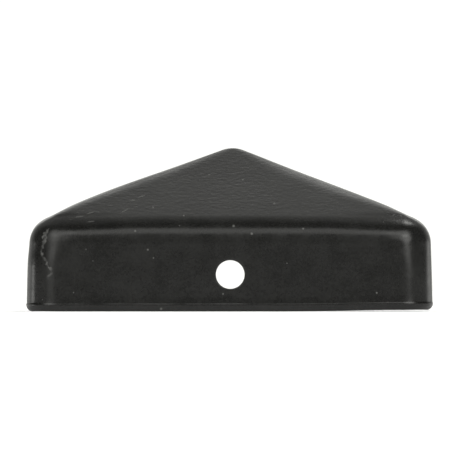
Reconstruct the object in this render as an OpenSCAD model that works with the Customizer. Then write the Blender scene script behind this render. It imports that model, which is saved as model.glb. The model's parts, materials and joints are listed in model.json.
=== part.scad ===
// Pyramid cap for a square timber post, pressed from one blank of sheet steel.
//
// The cap slides down over the top of the post until the bend under its eave meets the post's top
// edges. A wood screw through the hole in each of two opposite skirt walls holds it down.
//
// Millimetres. +Z is up, z = 0 is the plane of the rim, and the origin is the rim's centre.
// The two screw holes share one axis, parallel to Y.

/* [Post] */
// Side of the square post under the cap
post_w = 70; // [60:1:120]
// Play between the post and the mouth, both sides together
post_play = 1; // [0.5:0.1:3]

/* [Sheet] */
// Thickness of the sheet, the same all over
sheet_t = 1.2; // [0.8:0.1:2]
// Outside radius of the skirt corners, the eave bend, the hips and the tip
edge_r = 5.5; // [4:0.1:7]

/* [Skirt] */
// Height above the rim at which the straight skirt walls end and the eave bend starts
skirt_h = 12.3; // [12:0.1:40]
// Lean of each skirt wall away from upright, so that the mouth is the widest part
draft = 1; // [0:0.1:3]

/* [Roof] */
// Slope of the four roof faces above the horizontal
roof_slope = 21; // [15:0.5:45]

/* [Screw holes] */
// Diameter of the holes
hole_d = 5.3; // [3:0.1:7]
// Height of their shared axis above the rim
hole_z = 6.7; // [5:0.1:8]

/* [Hidden] */

$fn = 48;
coat_colour = [0.17, 0.17, 0.17];
overcut = 1;    // how far a cutting shape runs past the face that it cuts
slice_h = 0.01; // height of the flat disc that starts each skirt corner

mouth_w = post_w + post_play;
outer_w = mouth_w + 2 * sheet_t;

// The form is a sharp pyramid on a square skirt, the core, grown on every side by one radius:
// edge_r gives the outside of the sheet, and edge_r - sheet_t gives the inside.
core_rim_half = outer_w / 2 - edge_r;
core_tip_z = skirt_h + core_half(skirt_h) * tan(roof_slope);

// Half the core's width at a height on the skirt
function core_half(z) = core_rim_half - z * tan(draft);

// A sphere with a vertex ring on its equator and a vertex at each pole
module ball(r) {
    rotate_extrude()
        intersection() {
            circle(r);
            translate([0, -r]) square([r, 2 * r]);
        }
}

// Copies of its children at the core's four corners, at one height
module at_corners(z) {
    for (x = [-1, 1], y = [-1, 1])
        translate([x * core_half(z), y * core_half(z), z]) children();
}

// The core grown by a radius, from its lowest height up to the tip
module grown_core(r, from_z) {
    hull() {
        at_corners(from_z) cylinder(r = r, h = slice_h);
        at_corners(skirt_h) ball(r);
        translate([0, 0, core_tip_z]) ball(r);
    }
}

// One drill through both walls, along the holes' shared axis
module screw_hole_drill() {
    translate([0, 0, hole_z])
        rotate([90, 0, 0])
            cylinder(d = hole_d, h = outer_w + 2 * overcut, center = true);
}

// The pressed sheet: skirt, eave bend, four roof faces and tip in one piece
module cap_shell() {
    color(coat_colour)
        difference() {
            grown_core(edge_r, 0);
            grown_core(edge_r - sheet_t, -overcut);
            screw_hole_drill();
        }
}

cap_shell();
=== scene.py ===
"""The finished look of a pressed-steel pyramid post cap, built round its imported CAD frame.

The cap is one sheet of steel, so one mesh stands for the CAD node. It is skinned from level loops
that run once round the cap, coarse on the inside and fine on the outside. Both sides are the CAD's
sharp core grown by a radius. press() then moves the points to where a real press leaves them, with a
rolled trim edge, crowned roof faces, softened corners, a shifted tip and shallow waves. Lengths are
in millimetres until the mesh is made.
"""
import json
import math

import bpy
import numpy as np
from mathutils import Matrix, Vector, noise


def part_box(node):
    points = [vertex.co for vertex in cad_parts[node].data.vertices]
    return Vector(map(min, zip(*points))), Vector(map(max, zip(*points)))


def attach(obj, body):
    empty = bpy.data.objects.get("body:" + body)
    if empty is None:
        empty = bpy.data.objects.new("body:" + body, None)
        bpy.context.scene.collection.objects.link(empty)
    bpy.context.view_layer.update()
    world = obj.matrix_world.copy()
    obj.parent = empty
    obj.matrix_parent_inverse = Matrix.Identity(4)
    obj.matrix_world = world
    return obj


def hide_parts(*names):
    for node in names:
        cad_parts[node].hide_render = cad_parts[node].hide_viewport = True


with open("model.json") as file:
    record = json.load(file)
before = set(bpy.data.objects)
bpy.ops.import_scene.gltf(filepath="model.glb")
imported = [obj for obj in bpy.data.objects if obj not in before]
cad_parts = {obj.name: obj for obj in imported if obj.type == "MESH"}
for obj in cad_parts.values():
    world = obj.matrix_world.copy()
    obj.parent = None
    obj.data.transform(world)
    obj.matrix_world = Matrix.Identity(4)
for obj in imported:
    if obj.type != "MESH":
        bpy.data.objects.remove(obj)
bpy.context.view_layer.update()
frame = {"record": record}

MM = 0.001
NODE = "cap_shell"

# ---------------------------------------------------------------- sizes, from the frame

cap_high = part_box(NODE)[1]
bore = next(m for m in frame["record"]["mounts"] if m["name"] == "screw_hole_front")

EDGE_R = 5.5                        # outside radius of every bend
SHEET_T = 1.2                       # thickness of the sheet
DRAFT = math.radians(1)             # lean of the skirt walls
SLOPE = math.radians(21)            # slope of the roof faces
INNER_R = EDGE_R - SHEET_T
HOLE_R = bore["dims"]["r_mm"]
HOLE_Z = bore["pos_m"][2] / MM

core_rim = cap_high.x / MM - EDGE_R     # half the core's width at the rim
core_tip_z = cap_high.z / MM - EDGE_R
eave_z = (core_tip_z - core_rim * math.tan(SLOPE)) / (1 - math.tan(DRAFT) * math.tan(SLOPE))
core_eave = core_rim - eave_z * math.tan(DRAFT)
ROOF_HALF = core_eave + EDGE_R * math.sin(SLOPE)    # half the width of the flat roof faces' foot

# ---------------------------------------------------------------- mesh density

WALL_CELLS = 160        # cells along one outer wall; the inside has half as many
CORNER_CELLS = 20       # cells round one outer corner; the inside has half as many
BEND_ROWS = 18          # rows up the outer eave bend
BLOCK = 10              # half the side, in cells, of the square that holds a screw hole

# ---------------------------------------------------------------- details of the pressing

# The rim, where left and right are as seen from the front, -Y
ROLL_H = 1.2            # height of the rounding that the trim press leaves under the rim
ROLL_IN_FRONT = 0.35    # how far that rounding runs in under the front and back walls
ROLL_IN_SIDE = 1.03     # and under the side walls and round the corners
ROLL_POWER = 1.5        # how late it turns in: 2 would be a quarter of an ellipse
LIP_OUT = 0.095         # how far the rim stands proud of the wall above it
LIP_H = 0.35            # height over which the lip dies away
LIP_UNEVEN = 0.5        # how much the lip varies, as a share
LIP_WAVE = 4.0          # length of that variation
ROUND_IN = 0.12         # rounding of the rim's inside edge
TRIM_SKEW = 0.27        # how much higher the trimmed edge is at the right corner
SKEW_FROM = 10.0        # where the trimmed edge starts to rise
TRIM_RAG = 0.015        # unevenness of the trimmed edge
TRIM_WAVE = 5.0         # its length

# The holes
HOLE_ROLL = 0.2         # rounding where the punch entered
HOLE_BURR = 0.1         # rounding where the punch left

# The skirt and the eave bend
CORNER_TAPER = 0.12     # how far the skirt's corners pull in by the eave
TAPER_FROM = 20.0       # distance from the middle of a wall at which that starts
WALL_BOW = 0.18         # how far the front and back walls fall back towards their ends
BOW_FROM = 22.0         # distance from the middle at which that starts
BOW_MOST = 1.3          # its limit, as a share of the distance from there to the core's corner
CORNER_FALL = 0.26      # how far they fall back besides, in their upper corners
FALL_FROM = (28.3, 11.7)    # across and up, a point on the slanting line from which that grows
FALL_SLANT = 0.9        # how much height counts against distance across, for that line
FALL_TOP = 1.0          # height above the eave's start at which it stops counting
FALL_LENGTH = 5.0       # distance over which it grows
FALL_MOST = 1.3         # its limit, as a share of that distance
FLARE_LEFT = 0.22       # how far the left wall stands out below the eave
FLARE_H = 5.0           # height over which that comes in
SOFT_BEND = 0.22        # how far the eave bend is flattened towards the corners
SOFT_BEND_AT = math.radians(50)     # where round the bend that is most
SOFT_BEND_FROM = 15.0   # distance from the middle of a wall at which it starts
SOFT_BEND_HALF = 4.0    # half the width of the flattening, across the bend
FADE_IN = 1.4           # distance off the core over which these changes start, on the roof

# The roof
CROWN_FRONT_BACK = 0.04     # height of the bulge of the front and back roof faces
CROWN_LEFT = 0.5            # and of the left one
CROWN_RIGHT = 0.18          # and of the right one
HIP_CROWN_LEFT = 0.22       # height of the bulge of the left hips
HIP_CROWN_RIGHT = -0.02     # and of the right hips
SIDE_DROP = 0.18            # how far the side faces sag at their feet
SIDE_DROP_FROM = 0.85       # share of the way down at which that starts
CORNER_DROP = 0.2           # how far the roof sags towards its corners
CORNER_DROP_FROM = 0.62     # share of the way to the corner at which that starts
DROP_ABOVE = 2.5            # height above the eave's start at which both begin
DROP_H = 3.0                # height over which they come in
HIP_SOFT_LEFT = 1.6         # extra width of the left hips' rounding half way down
HIP_SOFT_RIGHT = 3.4        # and of the right hips'
HIP_SOFT_FULL = 0.35        # share of the way down by which they have it
HIP_SOFT_OUT = (0.55, 0.95)     # shares of the way down between which they lose it
HIP_BLEND = 3.0             # distance over which the hips' rounding starts and ends
TIP_CLEAR = 0.7             # where it starts, as a share of the tip ball's width
TIP_RISE = 0.17             # how much higher the drawn-out tip is
TIP_SPREAD = 17.0           # distance over which that dies away
TIP_ROUND = 2.5             # rounding of it
TIP_SHIFT = 0.45            # sideways shift of the tip, from the blank's place in the press
WAVE = 0.04                 # height of the shallow waves in the pressed faces
WAVE_LENGTH = 14.0          # their length
WAVE_UP = 3.0               # how much height above the eave turns their direction upwards
WAVE_SEED, LIP_SEED, TRIM_SEED = 1, 3, 5

CROWN_SCALE = 27 / 4        # makes the peak of t * t * (1 - t), for t from 0 to 1, equal to 1
NEARLY_ZERO = 0.01          # keeps a division by a length safe

QUARTER = np.array([[0.0, -1.0, 0.0], [1.0, 0.0, 0.0], [0.0, 0.0, 1.0]])
TURNS = [np.linalg.matrix_power(QUARTER, k) for k in range(4)]
FRONT, BACK = 0, 2      # the walls with holes, as numbers of quarter turns


def front_normal(elevation):
    """Outward normal of the front wall or roof face, tilted up by an angle."""
    return np.array([0.0, -math.cos(elevation), math.sin(elevation)])


def slerp(a, b, t):
    """The unit vector a share t of the way from a to b, along the arc between them."""
    angle = math.acos(float(np.clip(a @ b, -1, 1)))
    return (math.sin((1 - t) * angle) * a + math.sin(t * angle) * b) / math.sin(angle)


def smooth(t):
    """0 below 0, 1 above 1 and an S-curve between."""
    t = np.clip(t, 0, 1)
    return t * t * (3 - 2 * t)


def core_half(z):
    """Half the core's width at a height on the skirt."""
    return core_rim - z * math.tan(DRAFT)


class Skin:
    """Points and faces of the growing mesh."""

    def __init__(self):
        self.points = []
        self.faces = []

    def add(self, points):
        """Adds points and returns their numbers."""
        first = len(self.points)
        self.points.extend(np.asarray(points, float))
        return list(range(first, len(self.points)))

    def face(self, corners, flip):
        """Adds one face, turned over if flip is set."""
        self.faces.append(tuple(reversed(corners)) if flip else tuple(corners))

    def strip(self, a, b, flip=False, skip=()):
        """Quads between two closed loops of equal length, leaving out the numbers in skip."""
        count = len(a)
        for i in range(count):
            if i not in skip:
                j = (i + 1) % count
                self.face((a[i], a[j], b[j], b[i]), flip)

    def bridge(self, coarse, fine, flip=False):
        """Triangles between a loop and one with twice as many points."""
        count = len(coarse)
        for i in range(count):
            c0, c1 = coarse[i], coarse[(i + 1) % count]
            f0, f1, f2 = fine[2 * i], fine[2 * i + 1], fine[(2 * i + 2) % len(fine)]
            self.face((c0, c1, f1), flip)
            self.face((c1, f2, f1), flip)
            self.face((c0, f1, f0), flip)


def loop(half, z, elevation, grow, cells, corner_cells):
    """One loop round the cap, counter-clockwise from above, from the front wall's left end.

    half and z place the core's outline, elevation tilts the walls' normals, and grow is how far
    the surface stands off the core.
    """
    here = front_normal(elevation)
    following = QUARTER @ here
    xs = np.linspace(-half, half, cells + 1) if cells else [0.0]
    wall = [np.array([x, -half, z]) + grow * here for x in xs]
    corner = [
        np.array([half, -half, z]) + grow * slerp(here, following, k / corner_cells)
        for k in range(1, corner_cells)
    ]
    side = np.array(wall + corner)
    return np.vstack([side @ turn.T for turn in TURNS])


def skirt_rows(spacing, outer):
    """The (height, distance off the core) of each loop up the skirt, and the block's first and last."""
    rows = []
    if outer:
        rows += [(ROLL_H * (1 - math.sin(a)), EDGE_R) for a in np.radians([90, 72, 54, 36, 18])]
        rows += [(ROLL_H + LIP_H * share, EDGE_R) for share in np.linspace(0, 1, 6)]
    else:
        for angle in np.radians([90, 45, 0]):
            height = ROUND_IN * (1 - math.sin(angle))
            rows.append((height, INNER_R + ROUND_IN * (1 - math.cos(angle))))
    grow = EDGE_R if outer else INNER_R
    count = BLOCK * 2 if outer else BLOCK
    bottom, top = HOLE_Z - count * spacing / 2, HOLE_Z + count * spacing / 2
    if not outer:
        rows.append((bottom / 2, grow))
    first = len(rows)
    rows += [(z, grow) for z in np.linspace(bottom, top, count + 1)]
    wall_top = eave_z + grow * math.sin(DRAFT)
    above = max(2, round((wall_top - top) / spacing))
    rows += [(z, grow) for z in np.linspace(top, wall_top, above + 1)[1:]]
    return rows, first, first + count


def block_edge(loops, first_row, last_row, first_column, last_column):
    """The numbers of the points round a block of wall cells, counter-clockwise from outside."""
    bottom = [loops[first_row][c] for c in range(first_column, last_column)]
    right = [loops[r][last_column] for r in range(first_row, last_row)]
    top = [loops[last_row][c] for c in range(last_column, first_column, -1)]
    left = [loops[r][first_column] for r in range(last_row, first_row, -1)]
    return bottom + right + top + left


def wall_point(x, z, grow, depth, turn):
    """A point at x and height z on a drafted wall, pushed in by a depth."""
    y = -(core_half(z - grow * math.sin(DRAFT)) + grow * math.cos(DRAFT)) + depth
    return turn @ np.array([x, y, z])


def circle(count, radius, grow, depth, turn):
    """A loop of wall points round the hole's axis, starting at the block's lower left corner."""
    angles = math.radians(-135) + np.arange(count) * 2 * math.pi / count
    return [
        wall_point(radius * math.cos(a), HOLE_Z + radius * math.sin(a), grow, depth, turn)
        for a in angles
    ]


def toward_circle(skin, edge, radius, grow, shares, turn):
    """Loops on the wall that change from the block's square edge to the circle."""
    square = np.array([skin.points[i] for i in edge])
    ring = np.array(circle(len(edge), radius, grow, 0, turn))
    return [square + (ring - square) * share for share in shares]


def drill(skin, outer_edge, inner_edge, turn):
    """Fills both blocks up to the hole and lines the hole, with its edges rounded."""
    count = len(outer_edge)
    last = outer_edge
    outer_loops = toward_circle(
        skin, outer_edge, HOLE_R + HOLE_ROLL, EDGE_R, [0.3, 0.55, 0.75, 0.9, 1.0], turn
    )
    for angle in np.radians([22, 45, 67, 90]):
        radius = HOLE_R + HOLE_ROLL * (1 - math.sin(angle))
        outer_loops.append(circle(count, radius, EDGE_R, HOLE_ROLL * (1 - math.cos(angle)), turn))
    outer_loops.append(circle(count, HOLE_R, EDGE_R, SHEET_T / 2, turn))
    for angle in np.radians([90, 45, 0]):
        radius = HOLE_R + HOLE_BURR * (1 - math.sin(angle))
        outer_loops.append(circle(count, radius, INNER_R, -HOLE_BURR * (1 - math.cos(angle)), turn))
    for points in outer_loops:
        ring = skin.add(points)
        skin.strip(last, ring)
        last = ring
    inner_loops = toward_circle(
        skin, inner_edge, HOLE_R + 2 * HOLE_BURR, INNER_R, [0.4, 0.75, 1.0], turn
    )
    rings = [inner_edge] + [skin.add(points) for points in inner_loops]
    for a, b in zip(rings, rings[1:]):
        skin.strip(a, b, flip=True)
    skin.bridge(rings[-1], last, flip=True)


def close_tip(skin, edge, grow, cells, flip):
    """The ball patch over the core's tip, inside the last roof loop."""
    front = front_normal(math.pi / 2 - SLOPE)
    right, back, left = (turn @ front for turn in TURNS[1:])
    tip = np.array([0, 0, core_tip_z])
    grid = [[None] * (cells + 1) for _ in range(cells + 1)]
    for u in range(cells + 1):
        for v in range(cells + 1):
            if v == 0:
                grid[u][v] = edge[u]
            elif u == cells:
                grid[u][v] = edge[cells + v]
            elif v == cells:
                grid[u][v] = edge[3 * cells - u]
            elif u == 0:
                grid[u][v] = edge[4 * cells - v]
            else:
                a = slerp(front, right, u / cells)
                b = slerp(left, back, u / cells)
                grid[u][v] = skin.add([tip + grow * slerp(a, b, v / cells)])[0]
    for u in range(cells):
        for v in range(cells):
            skin.face((grid[u][v], grid[u + 1][v], grid[u + 1][v + 1], grid[u][v + 1]), flip)


def roof(skin, eave, grow, cells, corner_cells, flip):
    """Loops up the roof, each with two cells fewer on a side, and the ball patch on the tip."""
    last, last_cells = eave, cells
    for step in range(1, cells // 2 + 1):
        now_cells = cells - 2 * step
        half = core_eave * now_cells / cells
        z = eave_z + (core_eave - half) * math.tan(SLOPE)
        points = loop(half, z, math.pi / 2 - SLOPE, grow, now_cells, corner_cells)
        now = skin.add(points)
        side, now_side = last_cells + corner_cells, now_cells + corner_cells
        for k in range(4):
            a = [last[(k * side + i) % len(last)] for i in range(side + 1)]
            b = [now[(k * now_side + i) % len(now)] for i in range(now_side + 1)]
            skin.face((a[0], a[1], b[0]), flip)
            for i in range(1, last_cells - 1):
                skin.face((a[i], a[i + 1], b[i], b[i - 1]), flip)
            skin.face((a[last_cells - 1], a[last_cells], b[now_cells]), flip)
            for i in range(corner_cells):
                ai, bi = last_cells + i, now_cells + i
                skin.face((a[ai], a[ai + 1], b[bi + 1], b[bi]), flip)
        last, last_cells = now, now_cells
    close_tip(skin, last, grow, corner_cells, flip)


def surface(skin, outer):
    """One side of the sheet from the rim to the tip, without the blocks that hold the holes.

    Returns the loop at the rim and the edge of each block.
    """
    cells = WALL_CELLS if outer else WALL_CELLS // 2
    corner_cells = CORNER_CELLS if outer else CORNER_CELLS // 2
    grow = EDGE_R if outer else INNER_R
    block = BLOCK if outer else BLOCK // 2
    spacing = 2 * core_half(HOLE_Z) / cells
    rows, first_row, last_row = skirt_rows(spacing, outer)
    loops = []
    for z, off in rows:
        core_z = z - off * math.sin(DRAFT)
        loops.append(skin.add(loop(core_half(core_z), core_z, DRAFT, off, cells, corner_cells)))
    side = cells + corner_cells
    columns = {
        wall: (wall * side + cells // 2 - block, wall * side + cells // 2 + block)
        for wall in (FRONT, BACK)
    }
    in_block = {c for first, last in columns.values() for c in range(first, last)}
    for r in range(len(loops) - 1):
        skip = in_block if first_row <= r < last_row else ()
        skin.strip(loops[r], loops[r + 1], flip=not outer, skip=skip)
    edges = {
        wall: block_edge(loops, first_row, last_row, *columns[wall]) for wall in columns
    }
    last = loops[-1]
    bend_rows = BEND_ROWS if outer else BEND_ROWS // 2
    for elevation in np.linspace(DRAFT, math.pi / 2 - SLOPE, bend_rows + 1)[1:]:
        now = skin.add(loop(core_eave, eave_z, elevation, grow, cells, corner_cells))
        skin.strip(last, now, flip=not outer)
        last = now
    roof(skin, last, grow, cells, corner_cells, flip=not outer)
    return loops[0], edges


# ---------------------------------------------------------------- what the press leaves

def waves(points, length, seed):
    """A smooth random value from about -1 to 1 at each point."""
    offset = Vector((seed * 17.3, seed * 5.1, seed * 9.7))
    return np.array([noise.noise(Vector(p) / length + offset) for p in points])


def off_outline(p, half):
    """Each point's level direction and distance off a square outline.

    The direction fades out on the roof, where the distance goes to nothing.
    """
    out = p[:, :2] - np.clip(p[:, :2], -half[:, None], half[:, None])
    off = np.linalg.norm(out, axis=1)
    out /= np.maximum(off, NEARLY_ZERO)[:, None]
    return out * smooth(off / FADE_IN)[:, None], off


def press_roof(p, grow):
    """Crowns the four roof faces, softens the hips half way down and draws the tip out."""
    x, y, z = p.T
    along, across = np.maximum(abs(x), abs(y)), np.minimum(abs(x), abs(y))
    down = np.clip(along / ROOF_HALF, 0, 1)
    hip_down = (along + across) / (2 * ROOF_HALF)
    on_roof = smooth((z - eave_z) / INNER_R)

    ball = grow * math.sin(SLOPE)
    half_way = np.clip(hip_down, 0, 1)
    hip_soft = HIP_SOFT_LEFT + (HIP_SOFT_RIGHT - HIP_SOFT_LEFT) * smooth(x / TIP_SPREAD + 0.5)
    soft_from, soft_to = HIP_SOFT_OUT
    lost = smooth((half_way - soft_from) / (soft_to - soft_from))
    hip = ball + hip_soft * smooth(half_way / HIP_SOFT_FULL) * (1 - lost)
    share = np.clip(1 - (along - across) / hip, 0, 1)
    face = core_tip_z + grow / math.cos(SLOPE) - math.tan(SLOPE) * along
    soft = face - math.tan(SLOPE) * share ** 2 * hip / 4
    past_tip = smooth((along - TIP_CLEAR * ball) / HIP_BLEND)
    rise = (soft - z) * past_tip * (1 - smooth((along - core_eave) / HIP_BLEND + 1))

    crown = np.where(
        abs(y) > abs(x), CROWN_FRONT_BACK, np.where(x < 0, CROWN_LEFT, CROWN_RIGHT)
    )
    hip_crown = np.where(x < 0, HIP_CROWN_LEFT, HIP_CROWN_RIGHT)
    to_hip = (across / np.maximum(along, NEARLY_ZERO)) ** 2
    bulge = crown * (1 - to_hip ** 2) + hip_crown * to_hip
    rise += bulge * CROWN_SCALE * down ** 2 * (1 - down)
    rise += TIP_RISE * (1 - smooth(np.hypot(np.hypot(x, y), TIP_ROUND) / TIP_SPREAD))
    to_side = smooth((abs(x) / ROOF_HALF - SIDE_DROP_FROM) / (1 - SIDE_DROP_FROM))
    to_corner = smooth((hip_down - CORNER_DROP_FROM) / (1 - CORNER_DROP_FROM))
    dropped = smooth((z - eave_z - DROP_ABOVE) / DROP_H)
    rise -= (SIDE_DROP * to_side + CORNER_DROP * to_corner) * dropped
    p[:, 2] += rise * on_roof
    p[:, 0] += TIP_SHIFT * (1 - down) * on_roof


def press_bend(p):
    """Flattens the eave bend towards the corners, where the sheet is drawn over a wider radius."""
    x, y, z = p.T
    out, off = off_outline(p, np.full(len(p), core_eave))
    across = (z - eave_z) * math.cos(SOFT_BEND_AT) - off * math.sin(SOFT_BEND_AT)
    near = np.clip(1 - (across / SOFT_BEND_HALF) ** 2, 0, 1) ** 2
    from_middle = np.minimum(abs(x), abs(y)) - SOFT_BEND_FROM
    to_corner = smooth(from_middle / (core_eave - SOFT_BEND_FROM))
    depth = SOFT_BEND * near * to_corner * smooth(off / FADE_IN)
    p[:, :2] -= out * (depth * math.cos(SOFT_BEND_AT))[:, None]
    p[:, 2] -= depth * math.sin(SOFT_BEND_AT)


def press_skirt(p):
    """Tapers the corners, lets the walls fall back, rolls the rim under a lip and skews the trim."""
    x, y, z = p.T
    out, off = off_outline(p, core_half(z))
    below_eave = 1 - smooth((z - eave_z - EDGE_R / 2) / EDGE_R)

    corner = smooth((np.minimum(abs(x), abs(y)) - TAPER_FROM) / (core_rim - TAPER_FROM))
    inward = CORNER_TAPER * corner * np.clip(z / eave_z, 0, 1) ** 2 * below_eave

    outer = smooth((off - INNER_R) / SHEET_T * 2 - 1)
    uneven = 1 + LIP_UNEVEN * waves(p, LIP_WAVE, LIP_SEED)
    lip = LIP_OUT * uneven * (1 - smooth((z - ROLL_H) / LIP_H))
    under = np.clip(1 - z / ROLL_H, 0, 1)
    roll = (ROLL_IN_FRONT + (ROLL_IN_SIDE - ROLL_IN_FRONT) * out[:, 0] ** 2) + lip
    inward += outer * (roll * (1 - np.sqrt(1 - under ** ROLL_POWER)) - lip)
    p[:, :2] -= out * inward[:, None]

    eave_top = eave_z + FALL_TOP
    low_part = eave_top - np.logaddexp(0, eave_top - z)     # the height, levelling off at eave_top
    to_end = (abs(x) - BOW_FROM) / (core_rim - BOW_FROM)
    to_corner = (abs(x) - FALL_FROM[0] + FALL_SLANT * (low_part - FALL_FROM[1])) / FALL_LENGTH
    back = WALL_BOW * np.clip(to_end, 0, BOW_MOST) ** 2
    back += CORNER_FALL * np.clip(to_corner, 0, FALL_MOST) ** 2
    p[:, 1] -= back * out[:, 1] * abs(out[:, 1]) * below_eave
    p[:, 0] -= FLARE_LEFT * smooth(-x / core_rim) * smooth((eave_top - z) / FLARE_H)

    near_rim = 1 - smooth(z / HOLE_Z)
    p[:, 2] += TRIM_SKEW * smooth((x - SKEW_FROM) / (core_rim - SKEW_FROM)) * near_rim
    p[:, 2] += TRIM_RAG * (1 + waves(p, TRIM_WAVE, TRIM_SEED)) * near_rim


def press(points, grow):
    """The ideal points, each with its distance off the core, moved to where a real press has them."""
    p = np.array(points)
    wavy = WAVE * waves(p, WAVE_LENGTH, WAVE_SEED) * smooth(p[:, 2] / HOLE_Z)
    outward = p * [1, 1, 0]
    outward[:, 2] = np.maximum(p[:, 2] - eave_z, 0) * WAVE_UP
    outward /= np.maximum(np.linalg.norm(outward, axis=1), NEARLY_ZERO)[:, None]
    press_roof(p, grow)
    press_bend(p)
    press_skirt(p)
    return p + outward * wavy[:, None]


def build_cap():
    """The whole sheet as one closed mesh, in metres, with the points that no face uses left out."""
    skin = Skin()
    inner_rim, inner_edges = surface(skin, outer=False)
    inner_count = len(skin.points)
    outer_rim, outer_edges = surface(skin, outer=True)
    skin.bridge(inner_rim, outer_rim)
    for wall in (FRONT, BACK):
        drill(skin, outer_edges[wall], inner_edges[wall], TURNS[wall])
    points = np.array(skin.points)
    grow = np.where(np.arange(len(points)) < inner_count, INNER_R, EDGE_R)
    used = np.unique(np.concatenate([np.array(f) for f in skin.faces]))
    renumber = np.full(len(points), -1)
    renumber[used] = np.arange(len(used))
    points = press(points[used], grow[used])
    mesh = bpy.data.meshes.new("cap")
    mesh.from_pydata(
        (points * MM).tolist(), [], [tuple(int(renumber[i]) for i in f) for f in skin.faces]
    )
    mesh.shade_smooth()
    mesh.validate()
    cap = bpy.data.objects.new("cap", mesh)
    bpy.context.scene.collection.objects.link(cap)
    return cap


# ---------------------------------------------------------------- nodes

def add_node(tree, kind, inputs=None, **settings):
    """A node with its settings, and its inputs set to values or linked to sockets."""
    made = tree.nodes.new(kind)
    for name, value in settings.items():
        setattr(made, name, value)
    for name, value in (inputs or {}).items():
        if isinstance(value, bpy.types.NodeSocket):
            tree.links.new(value, made.inputs[name])
        else:
            made.inputs[name].default_value = value
    return made


def calc(tree, operation, *values, clamp=False):
    """The result of a Math node."""
    inputs = dict(enumerate(values))
    return add_node(tree, "ShaderNodeMath", inputs, operation=operation, use_clamp=clamp).outputs[0]


def both(tree, a, b):
    """The product of two masks."""
    return calc(tree, "MULTIPLY", a, b)


def either(tree, a, b):
    """The greater of two masks."""
    return calc(tree, "MAXIMUM", a, b)


def ramp(tree, value, low, high, out_low=0.0, out_high=1.0):
    """An S-curve from out_low, where value is low, to out_high, where it is high."""
    return add_node(
        tree,
        "ShaderNodeMapRange",
        {"Value": value, "From Min": low, "From Max": high, "To Min": out_low, "To Max": out_high},
        interpolation_type="SMOOTHSTEP",
    ).outputs["Result"]


def cloud(tree, where, length, detail=2.0, rough=0.5):
    """Noise whose features have a length in millimetres."""
    inputs = {"Vector": where, "Scale": 1 / (length * MM), "Detail": detail, "Roughness": rough}
    return add_node(tree, "ShaderNodeTexNoise", inputs).outputs["Fac"]


# ---------------------------------------------------------------- material

COAT_DARK = (0.0065, 0.0065, 0.0061, 1)     # the coat where the haze is thinnest
COAT_LIGHT = (0.0125, 0.0125, 0.0118, 1)    # and where it is thickest
MARK_COLOUR = (0.13, 0.13, 0.125, 1)        # dust, specks and worn coat
MARK_COVER = 0.6                            # how much of the coat a mark hides
HAZE_COARSE = 0.58                          # share of the haze that is in wide patches
COAT_IOR = 1.36
SHEEN = (0.17, 0.25)        # roughness of the glossiest and the dullest patches
TRIM_DULL = 0.3             # extra roughness of the trimmed edge
MARK_DULL = 0.25            # and of the marks
PEEL_SKIRT = 0.08           # strength of the orange peel on the skirt
PEEL_ROOF = 0.59            # and on the roof, where the coat lies thicker
PEEL_FROM, PEEL_TO = 15, 19     # heights between which it changes
PEEL_DEPTH = 0.1

# The scuff down the front left corner, as (share of the way up, share of the way across)
SCUFF = (
    (0.0, 0.68), (0.09, 0.78), (0.18, 0.88), (0.28, 0.66), (0.4, 0.5),
    (0.51, 0.32), (0.68, 0.38), (0.82, 0.48), (1.0, 0.68),
)
SCUFF_LOW, SCUFF_HIGH = 5.6, 15.2       # its ends
SCUFF_LEFT, SCUFF_SPAN = -35.0, 3.0     # where share 0 across is, and how far away share 1 is
SCUFF_W = 0.2                           # half its width
SCUFF_WOBBLE = 1.6                      # how far it strays

# (x, z, radius) of the larger specks on the front
SPECKS = (
    (-3.8, 24.9, 0.14), (2.3, 24.0, 0.16), (8.0, 19.6, 0.18), (0.6, 15.5, 0.2),
    (13.2, 15.0, 0.16), (3.9, 14.1, 0.2), (-14.9, 11.2, 0.15), (-13.9, 9.7, 0.12),
    (-8.4, 17.4, 0.14), (-1.3, 3.2, 0.14), (26.5, 3.4, 0.16), (17.8, 22.6, 0.18),
    (-12.5, 0.5, 0.2), (-14.0, 18.9, 0.15), (-17.2, 14.6, 0.16),
)

# (x, z, half its length, turn) of the short scratches on the front roof face
DASHES = (
    (-17.7, 20.2, 0.55, 0.1), (-16.1, 20.9, 0.7, 0.3), (-19.1, 18.3, 0.8, 0.5),
    (-27.3, 17.2, 0.8, 0.12), (-25.3, 17.9, 0.8, 0.3), (-25.2, 16.3, 0.6, 0.1),
)
DASH_W = 0.12           # half their width


def scuff_mask(tree, place, x, z):
    """1 on the scuff, with a broken, wandering edge."""
    scuff_h = (SCUFF_HIGH - SCUFF_LOW) * MM
    up = calc(tree, "DIVIDE", calc(tree, "SUBTRACT", z, SCUFF_LOW * MM), scuff_h)
    path = add_node(tree, "ShaderNodeFloatCurve", {"Value": up})
    curve = path.mapping.curves[0]
    curve.points[0].location, curve.points[-1].location = SCUFF[0], SCUFF[-1]
    for point in SCUFF[1:-1]:
        curve.points.new(*point)
    path.mapping.update()
    middle = calc(tree, "MULTIPLY_ADD", path.outputs[0], SCUFF_SPAN * MM, SCUFF_LEFT * MM)
    stray = calc(tree, "SUBTRACT", cloud(tree, place, 0.7, 3.0), 0.5)
    wobble = calc(tree, "MULTIPLY", stray, SCUFF_WOBBLE * MM)
    aside = calc(tree, "ABSOLUTE", calc(tree, "ADD", calc(tree, "SUBTRACT", x, middle), wobble))
    line = ramp(tree, aside, 0.3 * SCUFF_W * MM, 1.6 * SCUFF_W * MM, 1.0, 0.0)
    starts = ramp(tree, z, SCUFF_LOW * MM, (SCUFF_LOW + 2) * MM)
    ends = ramp(tree, z, (SCUFF_HIGH - 0.6) * MM, SCUFF_HIGH * MM, 1.0, 0.0)
    broken = ramp(tree, cloud(tree, place, 0.9, 3.0), 0.4, 0.58, 0.25, 1.0)
    return both(tree, both(tree, line, both(tree, starts, ends)), broken)


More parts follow.
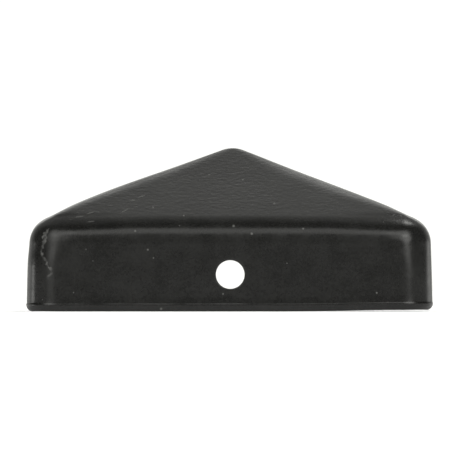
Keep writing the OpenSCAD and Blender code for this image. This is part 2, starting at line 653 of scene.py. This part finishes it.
def speck_mask(tree, x, z):
    """1 on the larger specks, and a weaker mark on the short scratches."""
    flat_place = add_node(tree, "ShaderNodeCombineXYZ", {"X": x, "Z": z}).outputs[0]
    specks = 0.0
    for speck_x, speck_z, radius in SPECKS:
        away = add_node(
            tree,
            "ShaderNodeVectorMath",
            {0: flat_place, 1: (speck_x * MM, 0, speck_z * MM)},
            operation="DISTANCE",
        ).outputs["Value"]
        speck = ramp(tree, away, 0.5 * radius * MM, 1.5 * radius * MM, 1.0, 0.0)
        specks = either(tree, specks, speck)
    for dash_x, dash_z, length, turn in DASHES:
        own_place = add_node(
            tree,
            "ShaderNodeMapping",
            {
                "Vector": flat_place,
                "Location": (dash_x * MM, 0, dash_z * MM),
                "Rotation": (0, -turn, 0),
                "Scale": (length * MM, 1, DASH_W * MM),
            },
            vector_type="TEXTURE",
        ).outputs[0]
        away = add_node(
            tree, "ShaderNodeVectorMath", {0: own_place}, operation="LENGTH"
        ).outputs["Value"]
        specks = either(tree, specks, ramp(tree, away, 0.4, 1.4, 0.6, 0.0))
    return specks


def dust_mask(tree, place):
    """Fine dust all over."""
    grit = add_node(
        tree, "ShaderNodeTexVoronoi", {"Vector": place, "Scale": 1 / (3.2 * MM)}
    ).outputs["Distance"]
    return ramp(tree, grit, 0.02, 0.055, 0.7, 0.0)


def scratch_mask(tree, place, z):
    """Fine scratches along the roof, in patches."""
    stretched = add_node(
        tree,
        "ShaderNodeMapping",
        {"Vector": place, "Rotation": (0, 0.2, 0.15), "Scale": (0.2, 1, 1)},
    ).outputs[0]
    lines = ramp(tree, cloud(tree, stretched, 0.35, 1.0), 0.7, 0.78)
    patches = ramp(tree, cloud(tree, place, 9.0, 1.0), 0.5, 0.6, 0.0, 0.5)
    return both(tree, lines, both(tree, patches, ramp(tree, z, 15 * MM, 17 * MM)))


def powder_coat():
    """Black semi-gloss powder coat with orange peel, a scuff, specks of dust and fine scratches."""
    material = bpy.data.materials.new("black_powder_coat")
    material.use_nodes = True
    tree = material.node_tree
    tree.nodes.clear()
    place = add_node(tree, "ShaderNodeTexCoord").outputs["Object"]
    x, y, z = add_node(tree, "ShaderNodeSeparateXYZ", {0: place}).outputs

    front = ramp(tree, y, -1 * MM, 1 * MM, 1.0, 0.0)
    by_hand = either(tree, scuff_mask(tree, place, x, z), speck_mask(tree, x, z))
    all_over = either(tree, dust_mask(tree, place), scratch_mask(tree, place, z))
    marks = either(tree, both(tree, by_hand, front), all_over)

    coarse_haze = both(tree, cloud(tree, place, 8.0, 4.0, 0.6), HAZE_COARSE)
    fine_haze = both(tree, cloud(tree, place, 0.45, 1.0), 1 - HAZE_COARSE)
    haze = ramp(tree, calc(tree, "ADD", coarse_haze, fine_haze), 0.35, 0.65)
    colour = add_node(
        tree,
        "ShaderNodeMix",
        {"Factor": haze, "A": COAT_DARK, "B": COAT_LIGHT},
        data_type="RGBA",
    ).outputs["Result"]
    colour = add_node(
        tree,
        "ShaderNodeMix",
        {"Factor": both(tree, marks, MARK_COVER), "A": colour, "B": MARK_COLOUR},
        data_type="RGBA",
    ).outputs["Result"]

    peel = both(tree, cloud(tree, place, 1.0, 1.0), 1.5)
    grain = both(tree, cloud(tree, place, 0.4, 2.0, 0.6), 0.6)
    peeling = ramp(tree, z, PEEL_FROM * MM, PEEL_TO * MM, PEEL_SKIRT, PEEL_ROOF)
    bump = add_node(
        tree,
        "ShaderNodeBump",
        {"Strength": peeling, "Distance": PEEL_DEPTH * MM, "Height": calc(tree, "ADD", peel, grain)},
    ).outputs["Normal"]
    sheen = ramp(tree, cloud(tree, place, 3.0, 3.0), 0.3, 0.7, *SHEEN)
    trimmed = ramp(tree, z, 0.4 * MM, 1.3 * MM, TRIM_DULL, 0.0)
    dulled = both(tree, marks, MARK_DULL)
    roughness = calc(tree, "ADD", calc(tree, "ADD", sheen, trimmed), dulled, clamp=True)
    shader = add_node(
        tree,
        "ShaderNodeBsdfPrincipled",
        {"Base Color": colour, "Roughness": roughness, "Normal": bump, "IOR": COAT_IOR},
    )
    output = add_node(tree, "ShaderNodeOutputMaterial")
    tree.links.new(shader.outputs["BSDF"], output.inputs["Surface"])
    return material


# ---------------------------------------------------------------- studio

def aim(azimuth, elevation):
    """A direction, with azimuth 0 towards the camera's side, -Y, and 90 towards +X."""
    a, e = math.radians(azimuth), math.radians(elevation)
    return (math.sin(a) * math.cos(e), -math.cos(a) * math.cos(e), math.sin(e))


# (azimuth, elevation, angle to its full part, angle to its edge, strength) of each soft light
SOFTBOXES = (
    (0, 50, 6, 15, 2.0),
    (-8, 14, 14, 34, 0.2),
    (33, 46, 9, 18, 3.3),
    (32, 28, 9, 21, 3.9),
    (32, 14, 5, 14, 1.5),
    (-34, 47, 10, 19, 2.5),
    (-33, 28, 8, 25, 2.1),
    (-28, 14, 5, 19, 0.9),
    (144, 63, 4, 9, 6.0),
    (28, -4, 5, 22, 0.5),
    (-101, -13, 10, 20, 8.0),
    (118, -6, 6, 20, 1.0),
)
ROOM_LIGHT = 0.08       # from all directions

BACKDROP_SIDES = (84, 50)       # angles off straight back between which the backdrop comes in
BACKDROP_RISE = (8, 38)         # elevations between which it goes from its low to its high strength
BACKDROP_LOW, BACKDROP_HIGH = 0.6, 0.345
CEILING_FROM, CEILING_TO = 68, 84   # elevations between which it fades into the ceiling
CEILING_SHARE = 0.6             # what is left of it there
WALL_FROM, WALL_TO = 36, 56     # azimuths, on both sides, between which the low walls come in
WALL_TOP = 6                    # elevation at which they end
WALL_LIGHT = 1.15               # their strength at the horizon

STUDIO_TINT = (1, 1, 0.965, 1)  # colour of all this light
WHITE_BEHIND = 1.1              # what the camera itself sees of the room
FLOOR_HALF = 4.0                # half the floor's side, in metres
FLOOR_GREY = 0.85               # how much light it sends back
FLOOR_GLOW = 0.4                # and how much comes through it


def cosine(degrees):
    """The cosine of an angle in degrees."""
    return math.cos(math.radians(degrees))


def sine(degrees):
    """The sine of an angle in degrees."""
    return math.sin(math.radians(degrees))


def softbox(tree, direction, azimuth, elevation, inner, outer, strength):
    """A round light with a soft edge, at infinity."""
    facing = add_node(
        tree,
        "ShaderNodeVectorMath",
        {0: direction, 1: aim(azimuth, elevation)},
        operation="DOT_PRODUCT",
    ).outputs["Value"]
    return ramp(tree, facing, cosine(outer), cosine(inner), 0.0, strength)


def room_light(tree, direction):
    """How bright the room is in a direction."""
    right, back, up = add_node(tree, "ShaderNodeSeparateXYZ", {0: direction}).outputs
    level = calc(tree, "SQRT", calc(tree, "SUBTRACT", 1.0, calc(tree, "MULTIPLY", up, up)))
    level = calc(tree, "MAXIMUM", level, 0.001)
    behind = calc(tree, "DIVIDE", back, level)
    sideways = calc(tree, "DIVIDE", calc(tree, "ABSOLUTE", right), level)

    side_from, side_to = BACKDROP_SIDES
    rise_from, rise_to = BACKDROP_RISE
    backdrop = both(
        tree,
        ramp(tree, behind, cosine(side_from), cosine(side_to)),
        both(
            tree,
            ramp(tree, up, sine(rise_from), sine(rise_to), BACKDROP_LOW, BACKDROP_HIGH),
            ramp(tree, up, sine(CEILING_FROM), sine(CEILING_TO), 1.0, CEILING_SHARE),
        ),
    )
    low_walls = both(
        tree,
        ramp(tree, sideways, sine(WALL_FROM), sine(WALL_TO)),
        ramp(tree, up, 0.0, sine(WALL_TOP), WALL_LIGHT, 0.0),
    )
    light = calc(tree, "ADD", backdrop, low_walls)
    for box in SOFTBOXES:
        light = calc(tree, "ADD", light, softbox(tree, direction, *box))
    return calc(tree, "ADD", light, ROOM_LIGHT)


def studio():
    """A dark room with a white backdrop behind and soft lights above. All of it is far away."""
    world = bpy.data.worlds.new("studio")
    bpy.context.scene.world = world
    world.use_nodes = True
    tree = world.node_tree
    tree.nodes.clear()
    direction = add_node(tree, "ShaderNodeTexCoord").outputs["Generated"]
    light = room_light(tree, direction)
    seen = add_node(tree, "ShaderNodeLightPath").outputs["Is Camera Ray"]
    strength = add_node(
        tree, "ShaderNodeMix", {"Factor": seen, "A": light, "B": WHITE_BEHIND}, data_type="FLOAT"
    ).outputs["Result"]
    background = add_node(
        tree, "ShaderNodeBackground", {"Color": STUDIO_TINT, "Strength": strength}
    )
    output = add_node(tree, "ShaderNodeOutputWorld")
    tree.links.new(background.outputs[0], output.inputs["Surface"])


def make_floor():
    """A plain white sheet, faintly lit from below like a light table."""
    corners = [(-1, -1), (1, -1), (1, 1), (-1, 1)]
    mesh = bpy.data.meshes.new("floor")
    mesh.from_pydata([(FLOOR_HALF * x, FLOOR_HALF * y, 0) for x, y in corners], [], [(0, 1, 2, 3)])
    floor = bpy.data.objects.new("floor", mesh)
    bpy.context.scene.collection.objects.link(floor)
    material = bpy.data.materials.new("floor")
    material.use_nodes = True
    shader = material.node_tree.nodes["Principled BSDF"]
    shader.inputs["Base Color"].default_value = (FLOOR_GREY, FLOOR_GREY, FLOOR_GREY, 1)
    shader.inputs["Roughness"].default_value = 1.0
    shader.inputs["Specular IOR Level"].default_value = 0.0
    shader.inputs["Emission Color"].default_value = (1, 1, 1, 1)
    shader.inputs["Emission Strength"].default_value = FLOOR_GLOW
    mesh.materials.append(material)


CAMERA_FAR = 3000.0     # from the front wall to the camera
FRAME_W = 83.2          # width of the view at the front wall
AIM_Z = 14.76           # height at the middle of the view
AIM_X = -0.04           # and distance from the screw holes, to the right


def make_camera():
    """Level with the screw holes, so that the far hole lines up inside the near one."""
    data = bpy.data.cameras.new("camera")
    data.lens = data.sensor_width * CAMERA_FAR / FRAME_W
    data.clip_start, data.clip_end = 0.1, 20
    camera = bpy.data.objects.new("camera", data)
    bpy.context.scene.collection.objects.link(camera)
    eye = Vector((0, -(cap_high.x / MM + CAMERA_FAR), HOLE_Z))
    camera.location = eye * MM
    camera.rotation_euler = (math.pi / 2, 0, 0)
    data.shift_x = AIM_X / FRAME_W
    data.shift_y = (AIM_Z - HOLE_Z) / FRAME_W
    bpy.context.scene.camera = camera


cap = build_cap()
cap.data.materials.append(powder_coat())
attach(cap, "root")
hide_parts(NODE)
make_floor()
studio()
make_camera()
bpy.context.scene.view_settings.view_transform = "Standard"
